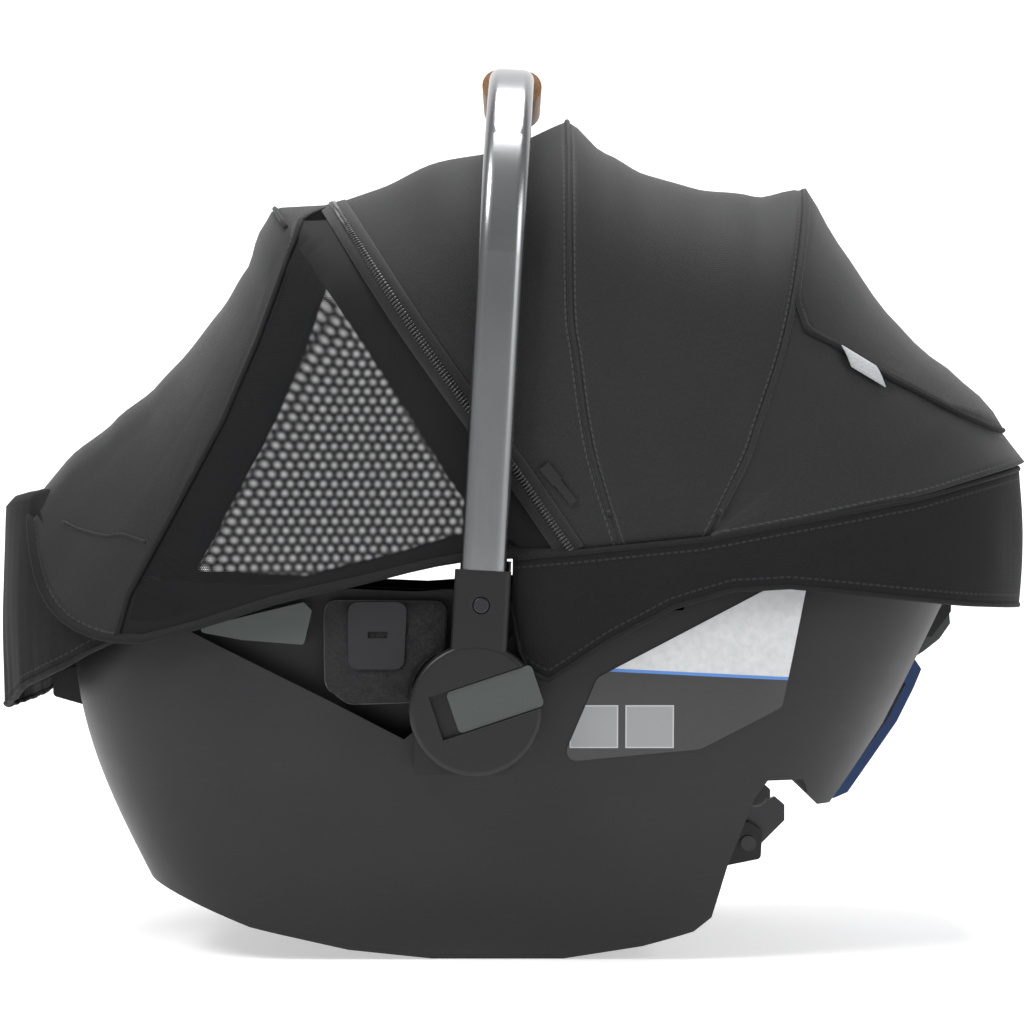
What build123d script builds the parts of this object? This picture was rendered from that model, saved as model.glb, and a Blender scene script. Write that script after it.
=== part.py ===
"""Infant car seat: shell, carry handle, folding canopy, soft goods, harness and base latch.

Millimetres. +Z is up, +X points to the head end, -Y is the occupant's left side.
The origin is on the floor under the middle of the carrier.
"""

from build123d import *
import math
import os

os.makedirs("parts", exist_ok=True)

# ---------------------------------------------------------------- driving sizes
carrier_length = 650.0
carrier_width = 440.0
handle_height = 564.0

shell_half_width = 190.0
shell_wall = 3.5
shell_corner = 105.0
seat_half_width = 175.0
seat_wall = 3.0
foam_thickness = 14.0
pad_thickness = 12.0
fit_gap = 0.3
soft_gap = 0.4

handle_lean_deg = 3.2
tube_depth = 28.0
tube_thickness = 14.0
tube_bend_radius = 118.0
tube_wall = 2.0
grip_wall = 3.2
grip_length = 140.0
hub_radius = 40.0
hub_thickness = 16.0
neck_width = 34.0
neck_length = 84.0
bolt_radius = 6.0
bolt_clearance = 0.06
button_radius = 5.1
button_offset = 63.0
button_travel = 4.0                   # into the neck
button_thickness = 5.0
button_centre_depth = 2.4             # below the neck's face
button_well_play = 3.0
button_well_depth = button_centre_depth + button_thickness / 2 + button_travel + button_well_play
slider_length = 54.0
slider_width = 26.0
slider_thickness = 5.0
slider_travel = 9.0
slot_tilt_deg = 18.5

bow_strip = 3.0
bow_depth = 9.0
bow_gap = 0.4
bow_drop = 2.6
bow_corner = 108.0
bow_eye_radius = 9.0
stay_start = 104.0
bow_pin_radius = 4.0
fabric = 1.5

hook_radius = 8.5
hook_thickness = 10.0
hook_spacing = 120.0
shaft_radius = 5.0
strap_width = 38.0
strap_thickness = 1.8

# Outlines below are drawn for this length and height, and stretch with the carrier.
drawn_length = 650.0
drawn_height = 564.0
stretch_x = carrier_length / drawn_length
stretch_z = handle_height / drawn_height
side = carrier_width / 2

# ---------------------------------------------------------------- key places
hub_x = -22.0 * stretch_x
hub_z = 160.0 * stretch_z
canopy_x = 80.0 * stretch_x
canopy_z = 232.0 * stretch_z
arm_y = side - hub_thickness / 2
hub_inner_y = side - hub_thickness

bow_outer_y = shell_half_width + 6.0
bow_layers = [bow_outer_y - index * (bow_strip + bow_gap) for index in range(4)]
cloth_y = bow_outer_y + soft_gap + fabric
zip_pull_half = 1.2                   # half the thickness of the zip's slider
zip_pull_reach = 90.0                 # from the canopy pivot, along the zip
skirt_inner_y = cloth_y + 0.6
skirt_thickness = 3.0
boot_inner_y = shell_half_width - 7.2
boot_thickness = 2.6

# ---------------------------------------------------------------- shared helpers


def stretched(points):
    """Outline points moved with the carrier's length and height."""
    return [(x * stretch_x, z * stretch_z) for x, z in points]


def side_face(points, radius=0.0):
    """A closed outline in the side view, with every corner rounded alike."""
    if radius > 0:
        outline = FilletPolyline(*points, radius=radius, close=True)
    else:
        outline = Polyline(*points, close=True)
    return Plane.XZ * make_face(outline)


def slab(face, y_from, y_to):
    """A side-view face given thickness between two Y positions."""
    middle = (y_from + y_to) / 2
    return Pos(0, middle, 0) * extrude(face, amount=abs(y_to - y_from) / 2, both=True)


def full_slab(points):
    """A side-view outline cut right through the carrier."""
    return slab(side_face(stretched(points)), -side - 20, side + 20)


def disc(radius, y_from, y_to, x, z):
    """A round piece whose axis runs across the carrier."""
    length = abs(y_to - y_from)
    return Pos(x, (y_from + y_to) / 2, z) * Rot(90, 0, 0) * Cylinder(radius, length)


def other_side(shape):
    """The same piece on the occupant's right."""
    return mirror(shape, about=Plane.XZ)


def both_sides(shape):
    """One node that holds the left piece and its mirror image."""
    return Compound(children=[Compound(shape.solids()), Compound(other_side(shape).solids())])


def save(shape, name):
    """Writes one node as its own file, with nothing but its solids in it."""
    solids = shape.solids()
    kept = solids[0] if len(solids) == 1 else Compound(children=list(solids))
    export_step(kept, f"parts/{name}.step")


def stations(levels, inset):
    """Rounded plan sections of a tub, one at each height."""
    faces = []
    for z, x_foot, x_head, half_width, corner in levels:
        length = (x_head - x_foot) * stretch_x - 2 * inset
        middle = (x_head + x_foot) * stretch_x / 2
        plan = RectangleRounded(length, 2 * (half_width - inset), corner - inset)
        faces.append(Pos(middle, 0, z * stretch_z) * plan)
    return faces


def tub(levels, inset=0.0):
    """A tapering tub with rounded corners, closed and solid."""
    return loft(stations(levels, inset))


# ---------------------------------------------------------------- outer shell

SHELL_LEVELS = [
    (-6, -205, 150, shell_half_width - 60, shell_corner - 42),
    (14, -214, 162, shell_half_width - 44, shell_corner - 34),
    (60, -237, 190, shell_half_width - 25, shell_corner - 20),
    (130, -267, 230, shell_half_width - 9, shell_corner - 8),
    (206, -280, 269, shell_half_width - 2, shell_corner),
    (310, -286, 319, shell_half_width + 1, shell_corner + 5),
]
ROCKER = [
    (-360, 104), (-226, 46), (-163, 21), (-102, 6), (-50, 0), (32, 0), (81, 8.5),
    (113, 18), (124, 27), (133, 60), (149, 103), (157, 114), (180, 114), (184, 103),
    (190, 97), (199, 97), (234, 146), (269, 216), (340, 350), (-360, 350),
]
SHELL_EDGE = [
    (-360, 206), (-196, 206), (-110, 163), (-66, 140), (-30, 168), (14, 219), (104, 219),
    (124, 247), (200, 262), (340, 301), (340, 420), (-360, 420),
]


def rocker_block(inset):
    """Everything above the rocker line, raised by the wall for the inside."""
    face = side_face(stretched(ROCKER))
    if inset > 0:
        face = offset(face, amount=-inset, kind=Kind.INTERSECTION)
    return slab(face, -side, side)


shell_block = (tub(SHELL_LEVELS) & rocker_block(0)) - full_slab(SHELL_EDGE)
shell_hollow = tub(SHELL_LEVELS, shell_wall) & rocker_block(shell_wall)

# ---------------------------------------------------------------- inner shell and what lies in it

SEAT_LEVELS = [
    (20, -225, 150, seat_half_width - 44, shell_corner - 45),
    (120, -256, 208, seat_half_width - 16, shell_corner - 20),
    (206, -277, 254, seat_half_width - 2, shell_corner - 10),
    (250, -300, 276, seat_half_width, shell_corner - 5),
    (310, -320, 305, seat_half_width + 2, shell_corner),
]
SEAT_LINE = [
    (-420, 150), (-205, 108), (-110, 68), (-15, 58), (70, 74), (232, 182), (318, 316),
    (318, 460), (-420, 460),
]
SEAT_RIM = [
    (-360, 283), (-292, 281), (-226, 237), (-60, 230), (60, 238), (200, 262), (340, 303),
    (340, 460), (-360, 460),
]


def seat_region(inset):
    """The space of the seat, drawn in by an inset on every side."""
    face = side_face(stretched(SEAT_LINE), radius=40)
    if inset > 0:
        face = offset(face, amount=-inset)
    return tub(SEAT_LEVELS, inset + shell_wall + fit_gap) & slab(face, -side, side)


inner_inset = seat_wall
foam_inset = inner_inset + fit_gap + foam_thickness
pad_outer_inset = foam_inset + soft_gap
pad_inset = pad_outer_inset + pad_thickness

seat_outside = seat_region(0)
seat_inside = seat_region(inner_inset)
foam_outside = seat_region(inner_inset + fit_gap)
foam_inside = seat_region(foam_inset)
pad_outside = seat_region(pad_outer_inset)
pad_inside = seat_region(pad_inset)
above_rim = full_slab(SEAT_RIM)


def outer_shell():
    return shell_block - shell_hollow


def inner_shell():
    return seat_outside - seat_inside - above_rim


def foam_liner():
    """Energy-absorbing liner round the head, back and seat, open at the foot."""
    head_part = full_slab([(-150, 20), (340, 20), (340, 420), (-60, 420)])
    low_rim = Pos(0, 0, -6) * above_rim
    return ((foam_outside - foam_inside) & head_part) - low_rim


def seat_pad():
    """Quilted seat pad from the foot to the head, a little below the rim."""
    length_part = full_slab([(-262, 20), (290, 20), (290, 420), (-262, 420)])
    low_rim = Pos(0, 0, -16) * above_rim
    return ((pad_outside - pad_inside) & length_part) - low_rim


def seat_line_band(depth, thickness, x_from, x_to, y_from, y_to):
    """A strip that follows the seat line at a depth inside the seat region."""
    outer = offset(side_face(stretched(SEAT_LINE), radius=40), amount=-depth)
    inner = offset(side_face(stretched(SEAT_LINE), radius=40), amount=-(depth + thickness))
    band = slab(outer, y_from, y_to) - slab(inner, y_from, y_to)
    window = full_slab([(x_from, 0), (x_to, 0), (x_to, 330), (x_from, 330)])
    return band & window


# ---------------------------------------------------------------- soft goods of the seat

insert_depth = pad_inset + soft_gap
insert_thickness = 16.0
strap_depth = insert_depth + insert_thickness + soft_gap
shoulder_pad_thickness = 9.0
strap_offset = 34.0
insert_foot_x = -5.0
buckle_head_x = insert_foot_x - 0.6
buckle_length = 56.0


def infant_insert():
    """Cushion under the back, between the two sides of the seat pad."""
    return seat_line_band(insert_depth, insert_thickness, insert_foot_x, 150, -88, 88)


def head_support():
    """U-shaped pillow round the head."""
    block = seat_line_band(insert_depth, 58, 150.6, 232, -112, 112)
    hollow = seat_line_band(insert_depth + 18, 90, 120, 212, -68, 68)
    return (block - hollow) & seat_region(insert_depth)


def shoulder_straps():
    """Webbing from the back slots down to the buckle."""
    left = seat_line_band(strap_depth, strap_thickness, insert_foot_x, 149, -strap_offset - strap_width / 2,
                          -strap_offset + strap_width / 2)
    return both_sides(left)


def shoulder_pads():
    """Soft sleeves over the upper webbing."""
    half = strap_width / 2 - 3
    left = seat_line_band(strap_depth + strap_thickness + soft_gap, shoulder_pad_thickness,
                          72, 156, -strap_offset - half, -strap_offset + half)
    return both_sides(left)


def chest_clip():
    """Clip that joins the shoulder webbing."""
    return seat_line_band(strap_depth + strap_thickness + fit_gap, 7, 34, 66, -40, 40)


def crotch_strap():
    """Padded strap that carries the buckle."""
    return seat_line_band(insert_depth, crotch_thickness, -128, buckle_head_x, -24, 24)


crotch_thickness = 7.0
buckle_depth = insert_depth + crotch_thickness + fit_gap
buckle_thickness = 18.0
button_side_gap = 0.4
button_window = (-44.0, -22.0, 12.0)
buckle_travel = 3.0


def buckle_body():
    """Harness buckle with a well for its button."""
    foot_x = buckle_head_x - buckle_length
    body = seat_line_band(buckle_depth, buckle_thickness, foot_x, buckle_head_x, -26, 26)
    x_low, x_high, half = button_window
    well = seat_line_band(buckle_depth + 9, 40, x_low, x_high, -half, half)
    return body - well


def buckle_button():
    """Press button in the buckle."""
    x_low, x_high, half = button_window
    lift = buckle_depth + 9 + buckle_travel + 0.5
    return seat_line_band(lift, 7, x_low + button_side_gap, x_high - button_side_gap,
                          -half + button_side_gap, half - button_side_gap)


# ---------------------------------------------------------------- harness adjuster at the foot

adjuster_x = -185.0
adjuster_depth = pad_inset + fit_gap
adjuster_travel = 3.0


def adjuster_housing():
    """Bezel through which the adjuster strap leaves."""
    plate = seat_line_band(adjuster_depth, 9, adjuster_x - 22, adjuster_x + 22, -26, 26)
    pocket = seat_line_band(adjuster_depth + 3, 20, adjuster_x - 14, adjuster_x + 14, -17, 17)
    return plate - pocket


def adjuster_button():
    """Button that frees the adjuster strap."""
    lift = adjuster_depth + 3 + adjuster_travel + 0.5
    return seat_line_band(lift, 6, adjuster_x - 13.6, adjuster_x + 13.6, -16.6, 16.6)


def adjuster_strap():
    """Webbing tail that tightens the harness."""
    return seat_line_band(adjuster_depth, strap_thickness, -219, adjuster_x - 22.3, -12.5, 12.5)


# ---------------------------------------------------------------- hub, pivot and handle

base_outer_y = hub_inner_y - fit_gap
gear_depth = 7.0
slot_floor_y = -side + slider_thickness + 1.4
lean = Pos(hub_x, 0, hub_z) * Rot(0, handle_lean_deg, 0)


def hub_base():
    """Fixed bearing block on the left of the shell."""
    round_part = disc(hub_radius - 2, -base_outer_y, -seat_half_width + 14, hub_x, hub_z)
    corner = [(-37, -40), (20, -40), (20, 0), (-37, 0)]
    square = side_face([(hub_x + x, hub_z + z) for x, z in corner])
    block = round_part + slab(square, -base_outer_y, -seat_half_width + 14)
    bore = disc(bolt_radius, -side, 0, hub_x, hub_z)
    return block - shell_block - seat_outside - bore


def pivot_bolts():
    """Shoulder bolts on which the two sides of the handle turn."""
    shank = disc(bolt_radius, slot_floor_y + 0.4, -seat_half_width + 14, hub_x, hub_z)
    return both_sides(shank - seat_outside - shell_block)


def lock_gears():
    """Toothed locking plates inside the hub covers, fixed to the hub bases."""
    y_outer = -base_outer_y - fit_gap - gear_depth
    gear = disc(23, y_outer, -base_outer_y, hub_x, hub_z)
    for index in range(12):
        angle = math.radians(index * 30)
        x = hub_x + 24 * math.cos(angle)
        z = hub_z + 24 * math.sin(angle)
        gear += disc(3.2, y_outer, -base_outer_y, x, z)
    return both_sides(gear - disc(bolt_radius, -side, 0, hub_x, hub_z))


def slider_place():
    """The slot's own place on the hub face, tilted with the slot."""
    return Pos(hub_x, 0, hub_z) * Rot(0, -slot_tilt_deg, 0)


slider_centre = 13.4


def slider_slot():
    """Straight slot across the hub face, open at its right-hand end."""
    left_end = slider_centre - slider_length / 2 - slider_travel - 1.5
    length = 90 - left_end
    depth = side - abs(slot_floor_y) + 4
    cutter = Box(length, depth, slider_width + 1.2)
    return slider_place() * Pos(left_end + length / 2, slot_floor_y - depth / 2, 2.5) * cutter


def adapter_slider():
    """Spring-loaded catch release in the hub slot."""
    bar = Box(slider_length, slider_thickness, slider_width)
    bar = fillet(bar.edges().filter_by(Axis.Y), 3)
    y = slot_floor_y - 0.15 - slider_thickness / 2
    return slider_place() * Pos(slider_centre, y, 2.5) * bar


def hub_cover():
    """Round cover with a neck for the tube, a slot and a button well."""
    face_y = -side
    cover = disc(hub_radius, face_y, -hub_inner_y, hub_x, hub_z)
    cover = fillet(cover.edges().filter_by(GeomType.CIRCLE).sort_by(Axis.Y)[0], 3)
    neck_mid = (hub_radius + neck_length) / 2 - 8
    neck = Box(neck_width, hub_thickness - 0.2, neck_length - hub_radius + 16)
    neck = fillet(neck.edges().filter_by(Axis.Z), 4)
    cover += lean * Pos(0, -arm_y, neck_mid) * neck
    ring = Rot(90, 0, 0) * Cylinder(button_radius + 3.7, 2)
    cover += lean * Pos(0, -side + 0.9, button_offset) * ring
    cover -= disc(29, -base_outer_y - fit_gap - gear_depth - fit_gap, -hub_inner_y + 1, hub_x, hub_z)
    cover -= disc(bolt_radius + bolt_clearance, slot_floor_y - 1, -hub_inner_y + 1, hub_x, hub_z)
    cover -= slider_slot()
    well = Rot(90, 0, 0) * Cylinder(button_radius + 0.2, 2 * button_well_depth)
    cover -= lean * Pos(0, -side, button_offset) * well
    socket = Pos(0, -arm_y, tube_start - 0.1) * extrude(tube_section(0.1), amount=60)
    return cover - lean * socket


def handle_button():
    """Round unlocking button in the neck."""
    cap = Rot(90, 0, 0) * Cylinder(button_radius, button_thickness)
    cap = fillet(cap.edges().sort_by(Axis.Y)[0], 1.5)
    return lean * Pos(0, -side + button_centre_depth, button_offset) * cap


def tube_section(margin):
    """Oval cross-section of the handle tube, lying flat."""
    return SlotOverall(tube_depth + 2 * margin, tube_thickness + 2 * margin)


tube_start = neck_length - 12
tube_reach = (handle_height - hub_z) / math.cos(math.radians(handle_lean_deg)) \
    - grip_wall - tube_thickness / 2 - 0.6


def handle_path():
    """Centre line of the tube, seen from the front, in the handle's own frame."""
    points = [(0, -arm_y, tube_start), (0, -arm_y, tube_reach), (0, arm_y, tube_reach), (0, arm_y, tube_start)]
    return FilletPolyline(*points, radius=tube_bend_radius)


def handle_tube():
    """Bent oval tube from hub to hub."""
    section = Pos(0, -arm_y, tube_start) * (tube_section(0) - tube_section(-tube_wall))
    return lean * sweep(section, path=handle_path())


def handle_grip():
    """Leatherette sleeve round the middle of the tube."""
    oval = SlotOverall(tube_depth + 2 * grip_wall + 4, tube_thickness + 2 * grip_wall)
    hole = SlotOverall(tube_depth + 0.2, tube_thickness + 0.2)
    ring = Plane.XZ * (oval - hole)
    return lean * Pos(0, 0, tube_reach) * extrude(ring, amount=grip_length / 2, both=True)


# ---------------------------------------------------------------- belt guides, tabs and labels


def side_belt_guide():
    """Lap-belt guide on the left rim."""
    outline = [(-197, 207), (-165, 201), (-127, 198), (-122, 219), (-127, 224)]
    block = slab(side_face(stretched(outline), radius=2.0), -shell_half_width + 3, -seat_half_width + 10)
    return block - shell_block - seat_outside


def side_wing():
    """Padded flap that hangs over the left rim."""
    outline = [(-116, 226), (-116, 172), (-100, 160), (-52, 160), (-39, 178), (-39, 226)]
    flap = slab(side_face(stretched(outline), radius=8.0), -seat_half_width - 9, -seat_half_width + 1)
    return flap - shell_block - seat_outside - disc(hub_radius - 1, -side, side, hub_x, hub_z)


def wing_tabs():
    """Moulded loops on the two wings."""
    outline = [(-100, 224), (-100, 183), (-66, 183), (-64, 224)]
    y = -seat_half_width - 9 - fit_gap
    tab = slab(side_face(stretched(outline), radius=6.0), y - 2.5, y)
    slot = slab(side_face(stretched([(-88, 206), (-76, 206), (-76, 202), (-88, 202)])), y - 6, y + 3)
    return both_sides(tab - slot)


def side_labels():
    """Blank label film on each side of the shell."""
    outline = [(30, 126), (115, 134), (165, 160), (182, 246), (52, 178)]
    zone = slab(side_face(stretched(outline), radius=6.0), -shell_half_width - 6, -shell_half_width / 2)
    outside = tub(SHELL_LEVELS, -0.9)
    film = (zone & outside) - tub(SHELL_LEVELS, -0.1)
    return both_sides(film)


guide_half_width = 52.0
guide_gap = 11.0
liner_thickness = 1.5


def rear_belt_guide():
    """Belt loop that stands off the back of the shell, open from side to side."""
    outer = [(254, 188), (262, 183), (266, 177), (261, 165), (250, 143), (232, 117), (218, 97), (209, 93),
             (199, 96), (208, 116), (230, 146), (246, 188)]
    gap = [(208, 116), (230, 146), (243, 170), (245 + guide_gap, 168), (234 + guide_gap, 146),
           (215 + guide_gap, 119)]
    loop = slab(side_face(stretched(outer), radius=1.0), -guide_half_width, guide_half_width)
    mouth = slab(side_face(stretched(gap)), -side, side)
    return loop - mouth - rocker_block(0)


def belt_guide_liner():
    """Pale anti-slip strip on the shell behind the belt loop."""
    reach = guide_half_width - 2
    strip = [(216, 122), (234, 147), (243, 165), (243 + liner_thickness, 165), (234 + liner_thickness, 146),
             (217 + liner_thickness, 122)]
    return slab(side_face(stretched(strip)), -reach, reach) - rocker_block(0)


# ---------------------------------------------------------------- release lever and latch hooks

lever_pin_x = 281.0 * stretch_x
lever_pin_z = 219.0 * stretch_z
lever_pin_radius = 3.0
lever_half_width = 34.0


def lever_bracket():
    """Two ears on the back of the shell with the lever's pin between them."""
    outline = [(262, 200), (274, 197), (287, 214), (287, 224), (270, 232)]
    face = side_face(stretched(outline), radius=2.0)
    ears = [slab(face, y, y + 4) for y in (-lever_half_width - 4.6, lever_half_width + 0.6)]
    pin = disc(lever_pin_radius, -lever_half_width - 0.7, lever_half_width + 0.7, lever_pin_x, lever_pin_z)
    return (ears[0] + ears[1] + pin) - rocker_block(0)


def release_lever():
    """Squeeze lever that draws the latch hooks."""
    outline = [(277, 222), (286, 219), (287, 206), (280, 196), (270, 188), (262, 183), (266, 190), (276, 208)]
    blade = slab(side_face(stretched(outline), radius=1.0), -lever_half_width, lever_half_width)
    barrel = disc(lever_pin_radius + 3, -lever_half_width, lever_half_width, lever_pin_x, lever_pin_z)
    bore = disc(lever_pin_radius + 0.06, -side, side, lever_pin_x, lever_pin_z)
    return (blade + barrel) - bore - (Pos(1, 0, 0) * rocker_block(0))


throat_x = 157.0 * stretch_x
throat_z = 97.0 * stretch_z
shaft_x = 152.0 * stretch_x
shaft_z = 66.0 * stretch_z


def latch_hooks():
    """Two upturned hooks on one cross shaft, under the notch."""
    outline = [(145, 60), (160, 64), (176, 80), (176, 90), (170, 95), (166, 93), (157, 97),
               (149.5, 95), (145.5, 84)]
    face = side_face(stretched(outline), radius=1.5)
    hooks = None
    for sign in (-1, 1):
        y = sign * hook_spacing / 2
        plate = slab(face, y - hook_thickness / 2, y + hook_thickness / 2)
        hooks = plate if hooks is None else hooks + plate
    shaft = disc(shaft_radius, -hook_spacing / 2 - 16, hook_spacing / 2 + 16, shaft_x, shaft_z)
    hooks = hooks + shaft
    return hooks - disc(hook_radius, -side, side, throat_x, throat_z)


def hook_bearings():
    """Ears under the shell that carry the hook shaft."""
    outline = [(130, 50), (160, 56), (161, 74), (152, 80), (136, 74)]
    face = side_face(stretched(outline), radius=3.0)
    y = -hook_spacing / 2 - 14
    ear = slab(face, y, y + 6) - disc(shaft_radius + 0.06, -side, side, shaft_x, shaft_z)
    return both_sides(ear - rocker_block(0))


# ---------------------------------------------------------------- canopy frame

BOWS = {
    "rear": (185, 481),
    "middle": (35, 525),
    "front": (-114, 472),
    "stay": (-151, 470),
    "drape": (-292, 297),
}


def bow_polar(name):
    """Angle above +X and reach of a bow's outside, from the canopy pivot."""
    x = BOWS[name][0] * stretch_x - canopy_x
    z = BOWS[name][1] * stretch_z - canopy_z
    return math.degrees(math.atan2(z, x)), math.hypot(x, z)


def bow_plane(angle_deg):
    """Plane that holds the canopy pivot axis at one angle of the fan."""
    angle = math.radians(angle_deg)
    return Plane(
        origin=(canopy_x, 0, canopy_z),
        x_dir=(math.cos(angle), 0, math.sin(angle)),
        z_dir=(-math.sin(angle), 0, math.cos(angle)),
    )


def arch(start, reach, half_width, corner, thickness):
    """Flat-topped arch band: straight legs, round corners, straight top."""
    low, high = reach - corner, half_width - corner
    inner = corner - thickness
    edges = [
        Line((start, -half_width), (low, -half_width)),
        CenterArc((low, -high), corner, -90, 90),
        Line((reach, -high), (reach, high)),
        CenterArc((low, high), corner, 0, 90),
        Line((low, half_width), (start, half_width)),
        Line((start, half_width), (start, half_width - thickness)),
        Line((start, half_width - thickness), (low, half_width - thickness)),
        CenterArc((low, high), inner, 90, -90),
        Line((reach - thickness, high), (reach - thickness, -high)),
        CenterArc((low, -high), inner, 0, -90),
        Line((low, -half_width + thickness), (start, -half_width + thickness)),
        Line((start, -half_width + thickness), (start, -half_width)),
    ]
    return make_face(Wire(edges))


def bow(name, layer, start_at_pivot=True, depth=bow_depth):
    """Flat strip bow, with an eye at each end if it turns on the pivots."""
    angle, reach = bow_polar(name)
    half_width = bow_layers[layer]
    start = bow_eye_radius - 2 if start_at_pivot else stay_start
    corner = bow_corner - (cloth_y - half_width)
    band = bow_plane(angle) * arch(start, reach - fabric - bow_drop, half_width, corner, bow_strip)
    strip = extrude(band, amount=depth / 2, both=True)
    if start_at_pivot:
        for sign in (-1, 1):
            eye = disc(bow_eye_radius, sign * (half_width - bow_strip), sign * half_width, canopy_x, canopy_z)
            strip = strip + eye
        strip = strip - disc(bow_pin_radius + 0.05, -side, side, canopy_x, canopy_z)
    return strip


def canopy_mounts():
    """Rim brackets with the pins that the bows turn on."""
    inner_y = seat_half_width - 9
    low_y = bow_layers[3] - bow_strip - bow_gap
    foot = disc(13, -low_y, -inner_y, canopy_x, canopy_z)
    pin = disc(bow_pin_radius, -bow_outer_y - 0.3, -inner_y, canopy_x, canopy_z)
    return both_sides((foot + pin) - seat_outside - shell_block)


def panel(stops, start, inset=0.0, thickness=fabric):
    """Cloth stretched over a list of (angle, reach) stops of the fan."""
    faces = [
        bow_plane(angle) * arch(start, reach - inset, cloth_y - inset, bow_corner - inset, thickness)
        for angle, reach in stops
    ]
    return loft(faces, ruled=True)


panel_start = 44.0
seam_gap_deg = 0.5


def between(name_from, name_to):
    """Stops of the panel that spans two bows, just short of each seam."""
    angle_a, reach_a = bow_polar(name_from)
    angle_b, reach_b = bow_polar(name_to)
    return [(angle_a + seam_gap_deg, reach_a), (angle_b - seam_gap_deg, reach_b)]


def canopy_rear_panel():
    """Cloth from the rear bow down to the head rim."""
    angle, reach = bow_polar("rear")
    stops = [(angle - seam_gap_deg, reach), (44.5, 246), (29, 238), (20, 247)]
    return panel(stops, panel_start)


def flap_zone():
    """Side-view region above the piped edge of the vent flap."""
    return full_slab([(168, 396), (230, 362), (303, 333), (330, 520), (185, 520)])


def vent_flap():
    """Second layer of cloth over the top of the rear panel."""
    angle, reach = bow_polar("rear")
    lift = fabric + soft_gap
    stops = [(angle - 2 * seam_gap_deg, reach), (44.5, 246), (29, 238), (21.5, 245)]
    return panel(stops, panel_start + 20, inset=-lift) & flap_zone()


def flap_tab():
    """Blank woven tab folded over the flap's edge."""
    angle, reach = bow_polar("rear")
    lift = 2 * fabric + 2 * soft_gap
    stops = [(angle - 2 * seam_gap_deg, reach), (44.5, 246), (29, 238), (21.5, 245)]
    layer = panel(stops, panel_start + 20, inset=-lift, thickness=0.9)
    zone = side_face(stretched([(203, 377), (224, 365), (230, 374), (209, 387)]))
    return layer & slab(zone, -side, 0)


def canopy_zip():
    """Zip along the front bow, on top of the seam."""
    angle, reach = bow_polar("front")
    lift = 0.3 + 1.2
    band = bow_plane(angle) * arch(panel_start, reach + lift, cloth_y + lift, bow_corner + lift, 1.2)
    return extrude(band, amount=4, both=True)


def zip_pull():
    """Slider body and pull of the zip, parked low on the left side."""
    plane = bow_plane(bow_polar("front")[0])
    slider = Box(13, 2 * zip_pull_half, 7)
    tag = Pos(-14, 0.4, 0) * Box(17, 1.4, 5)
    y = -(cloth_y + fabric + fit_gap + zip_pull_half)
    return plane.location * (Pos(zip_pull_reach, y, 0) * (slider + tag))


def mesh_window():
    """See-through side window of the drape, left side."""
    return panel(between("stay", "drape"), panel_start) & mesh_zone(0.0)


def mesh_zone(shrink):
    """Side-view region of the left mesh window."""
    zone = [(-150, 462), (-132, 440), (30, 262), (30, 200), (-240, 200), (-236, 250)]
    face = side_face(stretched(zone))
    if shrink > 0:
        face = offset(face, amount=-shrink, kind=Kind.INTERSECTION)
    return slab(face, -side, -bow_outer_y + 24)


def drape_panel():
    """Solid cloth over the top and front of the drape."""
    cloth = panel(between("stay", "drape"), panel_start)
    windows = mesh_zone(0.0) + other_side(mesh_zone(0.0))
    return cloth - windows


def drape_hem():
    """Bound hem with its spring wire, at the drape's free edge."""
    return bow("drape", 3, start_at_pivot=True, depth=8.0)


def stay_cloth():
    """Short strip of cloth between the zip and the stay."""
    angle_a, reach_a = bow_polar("front")
    angle_b, reach_b = bow_polar("stay")
    stops = [(angle_a + 1.2, reach_a), (angle_b - seam_gap_deg, reach_b)]
    return panel(stops, panel_start)


# ---------------------------------------------------------------- skirt and boot

SKIRT = [
    (0, 251), (36, 254), (116, 262), (169, 272), (247, 287), (283, 297), (330, 309), (330, 220),
    (278, 223), (169, 234), (133, 232), (96, 221), (60, 202), (22, 177), (10, 183), (2, 202),
]
BOOT = [
    (-330, 150), (-330, 276), (-317, 283), (-276, 287), (-242, 262), (-205, 226), (-207, 207),
    (-243, 201), (-259, 194), (-277, 184), (-302, 172),
]


def ring_wall(half_width, x_end, x_other, corner, thickness):
    """Upright wall that runs round one end of the carrier, in plan."""
    length = abs(x_end - x_other)
    middle = (x_end + x_other) / 2
    outer = Pos(middle, 0) * RectangleRounded(length, 2 * half_width, corner)
    inner_size = (length - 2 * thickness, 2 * (half_width - thickness))
    inner = Pos(middle, 0) * RectangleRounded(*inner_size, corner - thickness)
    return Pos(0, 0, 40) * extrude(outer - inner, amount=360)


def rear_skirt():
    """Knitted skirt round the head end, over the canopy pivots."""
    end = carrier_length / 2
    wall = ring_wall(skirt_inner_y + skirt_thickness, end, -200 * stretch_x, 122, skirt_thickness)
    return wall & full_slab(SKIRT)


def foot_boot():
    """Knitted boot that wraps the foot end."""
    end = -carrier_length / 2
    wall = ring_wall(boot_inner_y + boot_thickness, end, 200 * stretch_x, 112, boot_thickness)
    return wall & full_slab(BOOT)


def foot_lip():
    """Moulded lip under the boot, on the foot end of the shell."""
    outline = stretched([(-297, 160), (-297, 174), (-262, 186), (-262, 150)])
    block = slab(side_face(outline, radius=3.0), -60, 60)
    return block - tub(SHELL_LEVELS)


# ---------------------------------------------------------------- build everything


def mirrored_pair(shape, name):
    """Writes a left node and its mirror image on the right."""
    save(shape, name + "_left")
    save(other_side(shape), name + "_right")


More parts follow.
